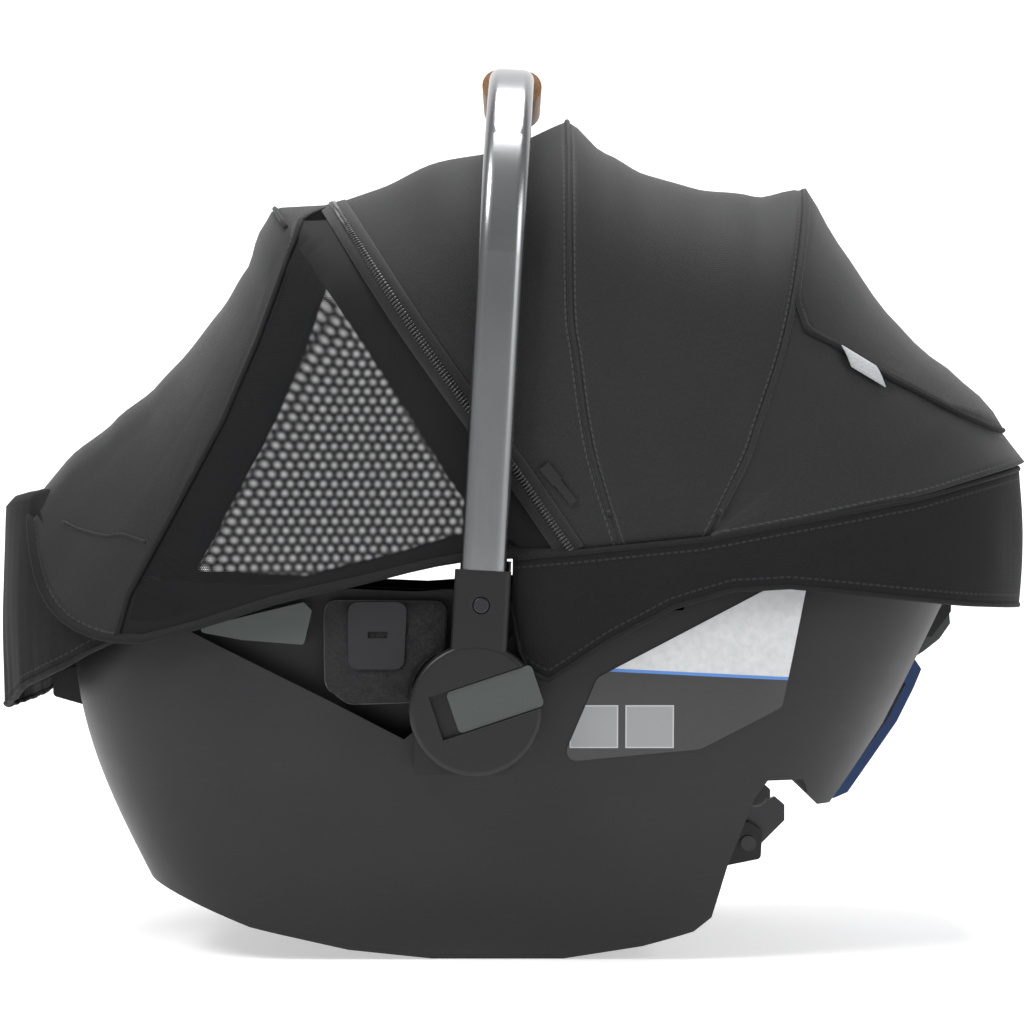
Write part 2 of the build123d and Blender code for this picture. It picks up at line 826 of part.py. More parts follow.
SINGLE = {
    "outer_shell": outer_shell,
    "inner_shell": inner_shell,
    "foam_liner": foam_liner,
    "seat_pad": seat_pad,
    "infant_insert": infant_insert,
    "head_support": head_support,
    "shoulder_straps": shoulder_straps,
    "shoulder_pads": shoulder_pads,
    "chest_clip": chest_clip,
    "crotch_strap": crotch_strap,
    "buckle_body": buckle_body,
    "buckle_button": buckle_button,
    "adjuster_housing": adjuster_housing,
    "adjuster_button": adjuster_button,
    "adjuster_strap": adjuster_strap,
    "wing_tabs": wing_tabs,
    "side_labels": side_labels,
    "rear_belt_guide": rear_belt_guide,
    "belt_guide_liner": belt_guide_liner,
    "lever_bracket": lever_bracket,
    "release_lever": release_lever,
    "latch_hooks": latch_hooks,
    "hook_bearings": hook_bearings,
    "foot_lip": foot_lip,
    "rear_skirt": rear_skirt,
    "foot_boot": foot_boot,
    "handle_tube": handle_tube,
    "handle_grip": handle_grip,
    "pivot_bolts": pivot_bolts,
    "lock_gears": lock_gears,
    "canopy_mounts": canopy_mounts,
    "canopy_rear_panel": canopy_rear_panel,
    "vent_flap": vent_flap,
    "flap_tab": flap_tab,
    "canopy_zip": canopy_zip,
    "zip_pull": zip_pull,
    "drape_panel": drape_panel,
    "drape_hem": drape_hem,
    "stay_cloth": stay_cloth,
}

PAIRS = {
    "hub_base": hub_base,
    "hub_cover": hub_cover,
    "handle_button": handle_button,
    "adapter_slider": adapter_slider,
    "side_belt_guide": side_belt_guide,
    "side_wing": side_wing,
    "drape_mesh": mesh_window,
}

for node, make in SINGLE.items():
    save(make(), node)
for node, make in PAIRS.items():
    mirrored_pair(make(), node)
for index, bow_name in enumerate(("rear", "middle", "front")):
    save(bow(bow_name, index), f"canopy_bow_{bow_name}")
save(bow("stay", 3, start_at_pivot=False), "drape_stay")
save(panel(between("rear", "middle"), panel_start), "canopy_middle_panel")
save(panel(between("middle", "front"), panel_start), "canopy_front_panel")
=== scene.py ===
"""Infant car seat: cloth, padding, finishes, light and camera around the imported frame."""
import math

import bpy
import bmesh
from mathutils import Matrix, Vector, noise
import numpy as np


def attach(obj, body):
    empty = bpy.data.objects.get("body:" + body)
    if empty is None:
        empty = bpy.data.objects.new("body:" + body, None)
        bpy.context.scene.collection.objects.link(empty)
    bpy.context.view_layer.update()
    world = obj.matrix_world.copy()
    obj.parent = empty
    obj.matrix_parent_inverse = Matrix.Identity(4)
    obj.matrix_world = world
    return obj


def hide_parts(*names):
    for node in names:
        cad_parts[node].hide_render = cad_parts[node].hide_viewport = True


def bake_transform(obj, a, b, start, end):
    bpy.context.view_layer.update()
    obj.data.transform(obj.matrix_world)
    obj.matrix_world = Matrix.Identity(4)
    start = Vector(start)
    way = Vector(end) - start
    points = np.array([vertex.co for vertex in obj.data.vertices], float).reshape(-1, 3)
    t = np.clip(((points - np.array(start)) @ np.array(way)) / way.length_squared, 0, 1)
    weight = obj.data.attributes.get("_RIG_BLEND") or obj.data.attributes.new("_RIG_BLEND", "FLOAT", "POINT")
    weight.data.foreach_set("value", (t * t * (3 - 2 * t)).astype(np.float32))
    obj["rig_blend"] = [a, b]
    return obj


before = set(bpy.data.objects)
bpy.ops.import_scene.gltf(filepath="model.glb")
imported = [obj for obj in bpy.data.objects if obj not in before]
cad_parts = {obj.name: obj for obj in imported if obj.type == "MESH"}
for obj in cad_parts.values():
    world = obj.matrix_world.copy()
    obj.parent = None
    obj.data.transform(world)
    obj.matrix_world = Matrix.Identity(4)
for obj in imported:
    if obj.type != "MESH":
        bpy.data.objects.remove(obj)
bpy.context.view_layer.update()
MM = 0.001
PIVOT = (0.080, 0.232)            # canopy axis, x and z
SIDE_STEPS, CORNER_STEPS, TOP_STEPS = 16, 14, 8


# ------------------------------------------------------------------ materials
def material(name, colour, rough, metallic=0.0, sheen=0.0, coat=0.0, specular=0.5):
    mat = bpy.data.materials.new(name)
    mat.use_nodes = True
    shader = mat.node_tree.nodes["Principled BSDF"]
    shader.inputs["Base Color"].default_value = (*colour, 1)
    shader.inputs["Roughness"].default_value = rough
    shader.inputs["Metallic"].default_value = metallic
    shader.inputs["Sheen Weight"].default_value = sheen
    shader.inputs["Sheen Roughness"].default_value = 0.5
    shader.inputs["Coat Weight"].default_value = coat
    shader.inputs["Specular IOR Level"].default_value = specular
    return mat, mat.node_tree, shader


def node(tree, kind, **values):
    made = tree.nodes.new(kind)
    for key, value in values.items():
        if hasattr(made, key):
            setattr(made, key, value)
        else:
            made.inputs[key.replace("_", " ")].default_value = value
    return made


def math_node(tree, operation, a, b=None, c=None):
    made = tree.nodes.new("ShaderNodeMath")
    made.operation = operation
    for slot_number, value in enumerate((a, b, c)):
        if value is None:
            continue
        if isinstance(value, (int, float)):
            made.inputs[slot_number].default_value = value
        else:
            tree.links.new(value, made.inputs[slot_number])
    return made.outputs[0]


def coordinates(tree, use_uv):
    made = tree.nodes.new("ShaderNodeTexCoord")
    return made.outputs["UV" if use_uv else "Object"]


def noise_value(tree, where, scale, detail=3.0, stretch=None):
    if stretch:
        mapping = tree.nodes.new("ShaderNodeMapping")
        mapping.inputs["Scale"].default_value = stretch
        tree.links.new(where, mapping.inputs["Vector"])
        where = mapping.outputs[0]
    made = node(tree, "ShaderNodeTexNoise", Scale=scale, Detail=detail)
    tree.links.new(where, made.inputs["Vector"])
    return made.outputs["Fac"]


def wave_value(tree, where, direction, scale, distortion=0.4):
    made = node(tree, "ShaderNodeTexWave", Scale=scale, Distortion=distortion)
    made.bands_direction = direction
    made.inputs["Detail"].default_value = 1.0
    made.inputs["Detail Scale"].default_value = 2.0
    tree.links.new(where, made.inputs["Vector"])
    return made.outputs["Fac"]


def mix_colour(tree, factor, first, second):
    made = tree.nodes.new("ShaderNodeMix")
    made.data_type = "RGBA"
    made.clamp_factor = True
    tree.links.new(factor, made.inputs[0])
    for number, value in ((6, first), (7, second)):
        if isinstance(value, tuple):
            made.inputs[number].default_value = (*value, 1)
        else:
            tree.links.new(value, made.inputs[number])
    return made.outputs[2]


def ramp(tree, factor, low, high):
    made = tree.nodes.new("ShaderNodeMapRange")
    made.inputs["From Min"].default_value = low
    made.inputs["From Max"].default_value = high
    tree.links.new(factor, made.inputs["Value"])
    return made.outputs[0]


def bump(tree, shader, height, strength, distance, below=None):
    made = tree.nodes.new("ShaderNodeBump")
    made.inputs["Strength"].default_value = strength
    made.inputs["Distance"].default_value = distance
    tree.links.new(height, made.inputs["Height"])
    if below is not None:
        tree.links.new(below, made.inputs["Normal"])
    tree.links.new(made.outputs[0], shader.inputs["Normal"])
    return made.outputs[0]


def attribute(tree, name):
    made = tree.nodes.new("ShaderNodeAttribute")
    made.attribute_name = name
    return made.outputs["Fac"]


def stitch_mask(tree, offset, length=0.0042, width=0.0006):
    """One dashed row of thread at a distance from the edge of a cloth piece."""
    rim, along = attribute(tree, "rim"), attribute(tree, "along")
    near = math_node(tree, "COMPARE", rim, offset, width)
    through = math_node(tree, "FRACT", math_node(tree, "DIVIDE", along, length))
    dash = math_node(tree, "LESS_THAN", through, 0.66)
    return math_node(tree, "MULTIPLY", near, dash)


def cloth(name, dark, light, pitch=0.0016, rough=0.82, sheen=0.25, depth=0.45, use_uv=False, stitched=(),
          thread=None, hem_band=0.0):
    """Woven cloth: heathered yarns, a plain weave in relief, soft variation and sewn rows."""
    mat, tree, shader = material(name, light, rough, sheen=sheen, specular=0.22)
    where = coordinates(tree, use_uv)
    turn = 2 * math.pi / 20 / pitch
    across, along = wave_value(tree, where, "X", turn), wave_value(tree, where, "Y" if use_uv else "Z", turn)
    weave = math_node(tree, "MAXIMUM", across, along)
    heather = noise_value(tree, where, 520, 4.0, (1, 3.2, 1))
    patches = noise_value(tree, where, 11, 3.0)
    fine = ramp(tree, heather, 0.36, 0.66)
    tone = mix_colour(tree, fine, dark, light)
    shade = math_node(tree, "MULTIPLY", ramp(tree, patches, 0.3, 0.75), 0.34)
    tone = mix_colour(tree, shade, tone, tuple(c * 0.72 for c in dark))
    tone = mix_colour(tree, math_node(tree, "MULTIPLY", math_node(tree, "SUBTRACT", 1.0, weave), 0.30), tone,
                      tuple(c * 0.5 for c in dark))
    height = weave
    normal = bump(tree, shader, height, depth, 0.0003)
    if stitched:
        rows = None
        for offset in stitched:
            row = stitch_mask(tree, offset)
            rows = row if rows is None else math_node(tree, "MAXIMUM", rows, row)
        tone = mix_colour(tree, math_node(tree, "MULTIPLY", rows, 0.75), tone, thread)
        bump(tree, shader, rows, 0.6, 0.0007, normal)
    if hem_band:
        rim = attribute(tree, "rim")
        band = math_node(tree, "LESS_THAN", rim, hem_band)
        tone = mix_colour(tree, math_node(tree, "MULTIPLY", band, 0.25), tone, tuple(c * 0.5 for c in dark))
    tree.links.new(tone, shader.inputs["Base Color"])
    vary = math_node(tree, "MULTIPLY_ADD", heather, 0.18, rough - 0.09)
    tree.links.new(vary, shader.inputs["Roughness"])
    return mat


def net(name, yarn, pitch, hole, band):
    """Knitted net with staggered round holes, closed along its edges."""
    mat, tree, shader = material(name, yarn, 0.7, sheen=0.02, specular=0.15)
    where = coordinates(tree, False)
    split = tree.nodes.new("ShaderNodeSeparateXYZ")
    tree.links.new(where, split.inputs[0])
    row_height = pitch * math.sqrt(3) / 2
    row = math_node(tree, "DIVIDE", split.outputs[2], row_height)
    number = math_node(tree, "FLOOR", row)
    odd = math_node(tree, "MULTIPLY", math_node(tree, "FLOORED_MODULO", number, 2.0), 0.5)
    column = math_node(tree, "ADD", math_node(tree, "DIVIDE", split.outputs[0], pitch), odd)
    du, dv = (math_node(tree, "MULTIPLY", math_node(tree, "SUBTRACT", math_node(tree, "FRACT", place), 0.5), size)
              for place, size in ((column, pitch), (row, row_height)))
    reach = math_node(tree, "SQRT", math_node(tree, "ADD", math_node(tree, "MULTIPLY", du, du),
                                              math_node(tree, "MULTIPLY", dv, dv)))
    yarn_here = math_node(tree, "GREATER_THAN", reach, hole)
    edge = math_node(tree, "LESS_THAN", attribute(tree, "rim"), band)
    lined = math_node(tree, "GREATER_THAN", attribute(tree, "lined"), 0.0)
    solid = math_node(tree, "MAXIMUM", math_node(tree, "MAXIMUM", yarn_here, edge), lined)
    tree.links.new(solid, shader.inputs["Alpha"])
    fibre = noise_value(tree, where, 900, 3.0)
    tone = mix_colour(tree, ramp(tree, fibre, 0.3, 0.7), tuple(c * 0.6 for c in yarn), yarn)
    tone = mix_colour(tree, yarn_here, tuple(c * 0.3 for c in yarn), tone)
    tree.links.new(tone, shader.inputs["Base Color"])
    bump(tree, shader, reach, 0.5, 0.0003)
    return mat


def plastic(name, colour, rough=0.45, grain=900, relief=0.10, coat=0.0, worn=0.10, specular=0.3):
    mat, tree, shader = material(name, colour, rough, coat=coat, specular=specular)
    where = coordinates(tree, False)
    spark = noise_value(tree, where, grain, 4.0)
    patches = noise_value(tree, where, 14, 4.0)
    rubbed = noise_value(tree, where, 60, 6.0, (1, 1, 5))
    tone = mix_colour(tree, math_node(tree, "MULTIPLY", ramp(tree, patches, 0.35, 0.75), 0.35), tuple(colour),
                      tuple(c * 0.78 for c in colour))
    scuff = math_node(tree, "MULTIPLY", ramp(tree, rubbed, 0.62, 0.78), worn)
    tone = mix_colour(tree, scuff, tone, tuple(min(1, c * 1.5 + 0.03) for c in colour))
    tree.links.new(tone, shader.inputs["Base Color"])
    tree.links.new(math_node(tree, "MULTIPLY_ADD", patches, 0.20, rough - 0.10), shader.inputs["Roughness"])
    bump(tree, shader, spark, relief, 0.0004)
    return mat


def metal(name, colour, rough, brushed=(1, 1, 30), coat=0.0):
    mat, tree, shader = material(name, colour, rough, metallic=1.0, coat=coat)
    where = coordinates(tree, False)
    lines = noise_value(tree, where, 180, 3.0, brushed)
    smear = noise_value(tree, where, 9, 3.0)
    tree.links.new(math_node(tree, "MULTIPLY_ADD", smear, 0.14, rough - 0.07), shader.inputs["Roughness"])
    tone = mix_colour(tree, ramp(tree, lines, 0.3, 0.7), tuple(c * 0.9 for c in colour), tuple(colour))
    tree.links.new(tone, shader.inputs["Base Color"])
    bump(tree, shader, lines, 0.05, 0.0002)
    return mat


def leather(name, colour, deep):
    mat, tree, shader = material(name, colour, 0.52, specular=0.45)
    where = coordinates(tree, False)
    cells = tree.nodes.new("ShaderNodeTexVoronoi")
    cells.feature = "DISTANCE_TO_EDGE"
    cells.inputs["Scale"].default_value = 620
    tree.links.new(where, cells.inputs["Vector"])
    crease = ramp(tree, cells.outputs["Distance"], 0.0, 0.22)
    patches = noise_value(tree, where, 30, 4.0)
    tone = mix_colour(tree, crease, deep, colour)
    tone = mix_colour(tree, math_node(tree, "MULTIPLY", patches, 0.35), tone, tuple(c * 0.75 for c in colour))
    tree.links.new(tone, shader.inputs["Base Color"])
    bump(tree, shader, crease, 0.45, 0.0003)
    return mat


def level_label(name):
    """Blank light panel over a dark backing, with a blue level line and two blank frames."""
    mat, tree, shader = material(name, (0.5, 0.5, 0.5), 0.42, coat=0.2)
    where = coordinates(tree, False)
    split = tree.nodes.new("ShaderNodeSeparateXYZ")
    tree.links.new(where, split.inputs[0])
    x, z = split.outputs[0], split.outputs[2]
    line_height = math_node(tree, "MULTIPLY_ADD", x, -0.049, 0.1857)
    above = math_node(tree, "SUBTRACT", z, line_height)
    line = math_node(tree, "COMPARE", above, 0.0, 0.0010)
    upper = math_node(tree, "GREATER_THAN", above, 0.001)
    dirt = noise_value(tree, where, 240, 3.0)
    light = mix_colour(tree, ramp(tree, dirt, 0.3, 0.8), (0.40, 0.41, 0.42), (0.48, 0.49, 0.50))
    dark = mix_colour(tree, ramp(tree, dirt, 0.3, 0.8), (0.005, 0.005, 0.006), (0.008, 0.008, 0.009))
    tone = mix_colour(tree, upper, dark, light)
    frame_sizes = ((0.0148, 0.0132, (0.34, 0.35, 0.36)), (0.0140, 0.0124, (0.20, 0.205, 0.21)))
    for centre_x in (0.050, 0.084):
        for half_x, half_z, shade in frame_sizes:
            inside_x = math_node(tree, "COMPARE", x, centre_x, half_x)
            inside_z = math_node(tree, "COMPARE", z, 0.148, half_z)
            tone = mix_colour(tree, math_node(tree, "MULTIPLY", inside_x, inside_z), tone, shade)
    tone = mix_colour(tree, line, tone, (0.05, 0.16, 0.42))
    tree.links.new(tone, shader.inputs["Base Color"])
    bump(tree, shader, dirt, 0.05, 0.0002)
    return mat


FINISH = {
    "shell_plastic": plastic("shell_finish", (0.010, 0.010, 0.0112), 0.46, relief=0.16, specular=0.28),
    "inner_plastic": plastic("inner_finish", (0.009, 0.009, 0.010), 0.55),
    "foam": plastic("foam_finish", (0.045, 0.045, 0.047), 0.9, grain=260, relief=0.5),
    "hub_plastic": plastic("hub_finish", (0.010, 0.010, 0.011), 0.38, grain=1400, relief=0.08),
    "bow_plastic": plastic("bow_finish", (0.010, 0.010, 0.011), 0.5),
    "button": plastic("button_finish", (0.016, 0.016, 0.018), 0.35),
    "guide": plastic("guide_finish", (0.052, 0.060, 0.057), 0.42),
    "navy": plastic("navy_finish", (0.010, 0.034, 0.115), 0.4),
    "pale_strip": plastic("pale_finish", (0.50, 0.51, 0.52), 0.5),
    "red": plastic("red_finish", (0.42, 0.020, 0.018), 0.38, coat=0.2),
    "steel": metal("steel_finish", (0.05, 0.05, 0.052), 0.36),
    "anodised": metal("anodised_finish", (0.33, 0.335, 0.345), 0.26, (30, 30, 1)),
    "leatherette": leather("leather_finish", (0.36, 0.185, 0.085), (0.19, 0.088, 0.036)),
    "label": level_label("label_finish"),
    "knit": cloth("knit_finish", (0.0024, 0.0024, 0.0028), (0.0085, 0.0085, 0.0095), 0.0021, sheen=0.02,
                  use_uv=True, stitched=(0.006,), thread=(0.030, 0.030, 0.033), hem_band=0.008),
    "canopy_cloth": cloth("canopy_finish", (0.0070, 0.0072, 0.0078), (0.018, 0.0184, 0.0196), 0.0013,
                          rough=0.62, sheen=0.10, use_uv=True, stitched=(0.0032,), thread=(0.040, 0.041, 0.043)),
    "binding": cloth("binding_finish", (0.004, 0.004, 0.0045), (0.013, 0.013, 0.0145), 0.0014, sheen=0.03,
                     use_uv=True),
    "pad_cloth": cloth("pad_finish", (0.007, 0.007, 0.008), (0.020, 0.020, 0.022), 0.0017, depth=0.5),
    "insert_cloth": cloth("insert_finish", (0.060, 0.062, 0.066), (0.16, 0.163, 0.17), 0.0015, depth=0.5),
    "webbing": cloth("webbing_finish", (0.012, 0.012, 0.013), (0.045, 0.046, 0.05), 0.0024, rough=0.6,
                     depth=0.7),
    "mesh": net("net_finish", (0.009, 0.009, 0.010), 0.00125, 0.00034, 0.014),
    "zip": cloth("zip_finish", (0.005, 0.005, 0.0055), (0.014, 0.014, 0.0155), 0.0012, use_uv=True),
}
FINISH["teeth"] = plastic("teeth_finish", (0.012, 0.012, 0.013), 0.3, coat=0.3)

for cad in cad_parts.values():
    for place in cad.material_slots:
        wanted = place.material.name.split(".")[0] if place.material else ""
        if wanted in FINISH:
            place.material = FINISH[wanted]


# ------------------------------------------------------------------ helpers for cloth
def smooth(t):
    t = max(0.0, min(1.0, t))
    return t * t * (3 - 2 * t)


def table(pairs, t):
    """Value at t from a short list of (t, value) pairs, eased between them."""
    for (a, first), (b, second) in zip(pairs, pairs[1:]):
        if t <= b:
            return first + (second - first) * smooth((t - a) / (b - a))
    return pairs[-1][1]


def spline(points, count):
    """Evenly spaced points on a smooth curve through the given ones."""
    keys = [Vector(p) for p in points]
    ends = [keys[0] * 2 - keys[1], *keys, keys[-1] * 2 - keys[-2]]
    dense = []
    for number in range(1, len(ends) - 2):
        a, b, c, d = ends[number - 1:number + 3]
        for step in range(24):
            t = step / 24
            dense.append(0.5 * (2 * b + (c - a) * t + (2 * a - 5 * b + 4 * c - d) * t * t
                                + (3 * b - a - 3 * c + d) * t * t * t))
    dense.append(keys[-1])
    return resample(dense, count)


def resample(points, count):
    lengths = [0.0]
    for a, b in zip(points, points[1:]):
        lengths.append(lengths[-1] + (b - a).length)
    made, place = [], 0
    for number in range(count):
        wanted = lengths[-1] * number / (count - 1)
        while place < len(points) - 2 and lengths[place + 1] < wanted:
            place += 1
        span = lengths[place + 1] - lengths[place] or 1e-9
        share = max(0.0, min(1.0, (wanted - lengths[place]) / span))
        made.append(points[place].lerp(points[place + 1], share))
    return made


def hoop(side, top, half_width=198.0, corner=108.0, crown=2.5):
    """Near half of a seam over the canopy, from its foot at the side to the middle of the top, in metres."""
    reach = math.hypot(top[0] - PIVOT[0] / MM, top[1] - PIVOT[1] / MM)
    tall = corner * (top[1] - PIVOT[1] / MM) / reach
    line = spline([(x, 0, z) for x, z in [*side, top]], 80)

    def x_at(z):
        for a, b in zip(line, line[1:]):
            if z <= b.z:
                return a.x + (b.x - a.x) * max(0.0, (z - a.z)) / max(1e-6, b.z - a.z)
        return line[-1].x

    turn_z = top[1] - tall
    points = []
    for step in range(SIDE_STEPS):
        z = side[0][1] + (turn_z - side[0][1]) * step / SIDE_STEPS
        points.append((x_at(z), -half_width, z))
    for step in range(CORNER_STEPS):
        angle = math.pi / 2 * step / CORNER_STEPS
        z = turn_z + tall * math.sin(angle)
        points.append((x_at(z), -(half_width - corner) - corner * math.cos(angle), z))
    flat = half_width - corner
    for step in range(TOP_STEPS + 1):
        y = -flat * (1 - step / TOP_STEPS)
        points.append((top[0], y, top[1] + crown * (1 - (y / flat) ** 2)))
    return [Vector(p) * MM for p in points]


def mirrored(half):
    return half + [Vector((p.x, -p.y, p.z)) for p in reversed(half[:-1])]


def grid(name, rows, finish, thickness=0.0012, open_edges=("first", "last")):
    """Cloth through rows of points, with weave coordinates and the distance to its sewn edges, in metres."""
    count = len(rows[0])
    mesh = bpy.data.meshes.new(name)
    faces = [(r * count + c, r * count + c + 1, (r + 1) * count + c + 1, (r + 1) * count + c)
             for r in range(len(rows) - 1) for c in range(count - 1)]
    mesh.from_pydata([p for row in rows for p in row], [], faces)
    across_rows = [[0.0] * count]
    for a, b in zip(rows, rows[1:]):
        across_rows.append([v + (q - p).length for v, p, q in zip(across_rows[-1], a, b)])
    along_rows = []
    for row in rows:
        run = [0.0]
        for a, b in zip(row, row[1:]):
            run.append(run[-1] + (b - a).length)
        along_rows.append([v - run[-1] / 2 for v in run])
    total = across_rows[-1]
    uv = mesh.uv_layers.new(name="cloth")
    for loop in mesh.loops:
        r, c = divmod(loop.vertex_index, count)
        uv.data[loop.index].uv = (along_rows[r][c], across_rows[r][c])
    rim = mesh.attributes.new("rim", "FLOAT", "POINT")
    run = mesh.attributes.new("along", "FLOAT", "POINT")
    for number in range(len(mesh.vertices)):
        r, c = divmod(number, count)
        gaps = []
        if "first" in open_edges:
            gaps.append(across_rows[r][c])
        if "last" in open_edges:
            gaps.append(total[c] - across_rows[r][c])
        if "ends" in open_edges:
            gaps.append(abs(along_rows[r][c] - along_rows[r][0]))
            gaps.append(abs(along_rows[r][-1] - along_rows[r][c]))
        rim.data[number].value = min(gaps)
        run.data[number].value = along_rows[r][c]
    return finished(name, mesh, finish, thickness)


def finished(name, mesh, finish, thickness=0.0):
    for face in mesh.polygons:
        face.use_smooth = True
    obj = bpy.data.objects.new(name, mesh)
    bpy.context.scene.collection.objects.link(obj)
    mesh.materials.append(FINISH[finish])
    if thickness:
        solid = obj.modifiers.new("thickness", "SOLIDIFY")
        solid.thickness = thickness
        solid.offset = 0
    return obj


def tube(name, path, radius, finish, flat=1.0, sides=10):
    """Cord-like edge along a path; flat squashes it across the path's own normal."""
    rows = []
    normal = None
    for number, point in enumerate(path):
        ahead = path[min(number + 1, len(path) - 1)] - path[max(number - 1, 0)]
        ahead.normalize()
        if normal is None:
            normal = ahead.orthogonal().normalized()
        normal = (normal - ahead * normal.dot(ahead)).normalized()
        side = ahead.cross(normal)
        swell = 1 + 0.06 * noise.noise(point * 140)
        rows.append([point + (normal * math.cos(a) + side * math.sin(a) * flat) * radius * swell
                     for a in (2 * math.pi * s / sides for s in range(sides + 1))])
    obj = grid(name, rows, finish, thickness=0)
    mesh = bmesh.new()
    mesh.from_mesh(obj.data)
    bmesh.ops.remove_doubles(mesh, verts=mesh.verts, dist=1e-6)
    bmesh.ops.holes_fill(mesh, edges=[e for e in mesh.edges if e.is_boundary], sides=0)
    mesh.to_mesh(obj.data)
    mesh.free()
    return obj


def lofted(first, last, steps, sag, drop):
    """Rows from one seam to the next; sag gives (t, metres along drop) for the top, the sides take a share."""
    rows = []
    for step in range(steps + 1):
        t = step / steps
        row = []
        for number, (a, b) in enumerate(zip(first, last)):
            point = a.lerp(b, t)
            height = smooth((number - SIDE_STEPS * 0.6) / (SIDE_STEPS * 0.4 + CORNER_STEPS))
            amount = table(sag, t)
            inward = Vector(drop)
            side = Vector((0, 1, 0)) * (1 - height) * 0.22
            fold = 4 * t * (1 - t)
            ripple = noise.noise(Vector((point.x * 9, point.y * 9, point.z * 9))) * 0.0022 * fold
            row.append(point + (inward * height + side) * amount * -1 + inward * ripple * (0.3 + height))
        rows.append(row)
    return [mirrored(row) for row in rows]


def set_weights(obj, rows, weights):
    """A row of the cloth turns with the share of the joint's angle given for it."""
    layer = obj.data.attributes["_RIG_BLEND"]
    count = len(obj.data.vertices) // rows
    for number in range(len(obj.data.vertices)):
        layer.data[number].value = weights[number // count]


def blend_rows(obj, first, last, rows, weights=None):
    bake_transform(obj, first, last, start=(PIVOT[0], 0, PIVOT[1]), end=(PIVOT[0], 0, PIVOT[1] + 0.1))
    set_weights(obj, rows, weights or [r / (rows - 1) for r in range(rows)])


def flat_area(obj):
    return sum(face.area for face in obj.data.polygons)


def declare(obj, width, rests_on=()):
    """The cut is as wide as the piece's mean width, so its length follows from its area."""
    # Sums the piece's face area and reads the names it rests on; nothing is kept or set. width is not used.
    area = flat_area(obj)
    list(rests_on)


# ------------------------------------------------------------------ canopy seams
rear_seam = hoop([(117.5, 262), (142, 311), (149, 331), (167.5, 390)], (185, 483))
middle_seam = hoop([(65.8, 256), (47.5, 317), (38.4, 378), (35.3, 408)], (35, 527))
zip_seam = hoop([(36.5, 254), (1.8, 304.6), (-29.8, 347), (-68.2, 402)], (-114, 474))
stay_seam = hoop([(8, 253.5), (-31.6, 286), (-66, 341), (-101, 397)], (-151, 472))


def edge_curve(side, corner, flat):
    """Lower edge of a cloth piece in the same three groups of points as a hoop."""
    groups = ((side, SIDE_STEPS), (corner, CORNER_STEPS), (flat, TOP_STEPS))
    points = [p for keys, steps in groups for p in spline(keys, steps + 1)[:-1]]
    return [p * MM for p in [*points, Vector(flat[-1])]]


def rounded(x_from, corner_x, half_width, flat, height):
    """Points round the head end in plan: straight side, round corner, straight back; height(x) gives z."""
    radius = half_width - flat
    side = [(x, -half_width, height(x)) for x in (x_from + (corner_x - x_from) * n / 6 for n in range(7))]
    corner = []
    for n in range(9):
        angle = math.pi / 2 * n / 8
        x = corner_x + radius * math.sin(angle)
        corner.append((x, -flat - radius * math.cos(angle), height(x)))
    back = [(corner_x + radius, -flat * (1 - n / 3), height(corner_x + radius)) for n in range(4)]
    return side, corner, back


def line_height(points):
    def height(x):
        for (a, low), (b, high) in zip(points, points[1:]):
            if x <= b:
                return low + (high - low) * max(0.0, (x - a)) / (b - a)
        return points[-1][1]
    return height


SKIRT_TOP = line_height([(0, 251), (36, 254), (116, 262), (169, 272), (247, 287), (283, 297), (330, 309)])
rear_edge = edge_curve(*rounded(117.5, 203, 199, 80, SKIRT_TOP))
hem_line = edge_curve(
    [(37, -199, 255), (-32, -199, 251), (-94, -199, 237), (-142, -199, 226), (-189, -197.5, 211),
     (-224, -195, 202)],
    [(-224, -195, 202), (-248, -189, 203), (-271, -180, 212), (-286, -169, 228), (-294, -161, 250),
     (-298, -150, 272)],
    [(-298, -150, 272), (-298, -118, 289), (-298, -60, 293), (-298, 0, 294)])


# ------------------------------------------------------------------ canopy cloth
REAR_PROFILE = [(0, 0.0066), (0.11, 0.0066), (0.19, 0.0088), (0.30, 0.0038), (0.46, -0.0041), (0.62, -0.0069),
                (0.82, -0.0054), (1, 0)]
ROWS = 26


def rear_rows(first, last, lift=0.0):
    rows = lofted(rear_edge, rear_seam, 60, REAR_PROFILE, drop=(-0.775, 0, -0.632))
    chosen = []
    for step in range(ROWS + 1):
        t = (first + (last - first) * step / ROWS) * 60
        low = min(int(t), 59)
        row = [a.lerp(b, t - low) for a, b in zip(rows[low], rows[low + 1])]
        chosen.append([p + (p - Vector((0.10, 0, 0.25))).normalized() * lift for p in row])
    return chosen


rows = rear_rows(0.0, 1.0)
rear_panel = grid("canopy_rear_cloth", rows, "canopy_cloth")
blend_rows(rear_panel, "carrier", "canopy_rear", len(rows))
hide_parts("canopy_rear_panel")

# Vent flap: a second layer from the rear seam to a piped edge that runs over the back.
full = rear_rows(0.0, 1.0, 0.0022)
FLAP_EDGE = line_height([(160, 402), (169, 394), (203, 378), (226, 364), (276, 340), (302, 331)])
flap_columns = []
for column in range(len(full[0])):
    start = None
    for number in range(len(full)):
        point = full[number][column] / MM
        if point.z >= FLAP_EDGE(point.x):
            start = number
            break
    if start is None or start >= len(full) - 2:
        continue
    before, after = full[max(start - 1, 0)][column], full[start][column]
    gap_before = FLAP_EDGE(before.x / MM) - before.z / MM
    gap_after = after.z / MM - FLAP_EDGE(after.x / MM)
    share = gap_before / max(1e-6, gap_before + gap_after) if start else 0
    edge = before.lerp(after, max(0.0, min(1.0, share)))
    run = [edge] + [row[column] for row in full[start:]]
    flap_columns.append(resample(run, 16))
flap_rows = [list(row) for row in zip(*flap_columns)]
flap = grid("vent_flap_cloth", flap_rows, "canopy_cloth", open_edges=("first", "last", "ends"))
flap_share = [0.45 + 0.55 * n / 15 for n in range(16)]
blend_rows(flap, "carrier", "canopy_rear", 16, flap_share)
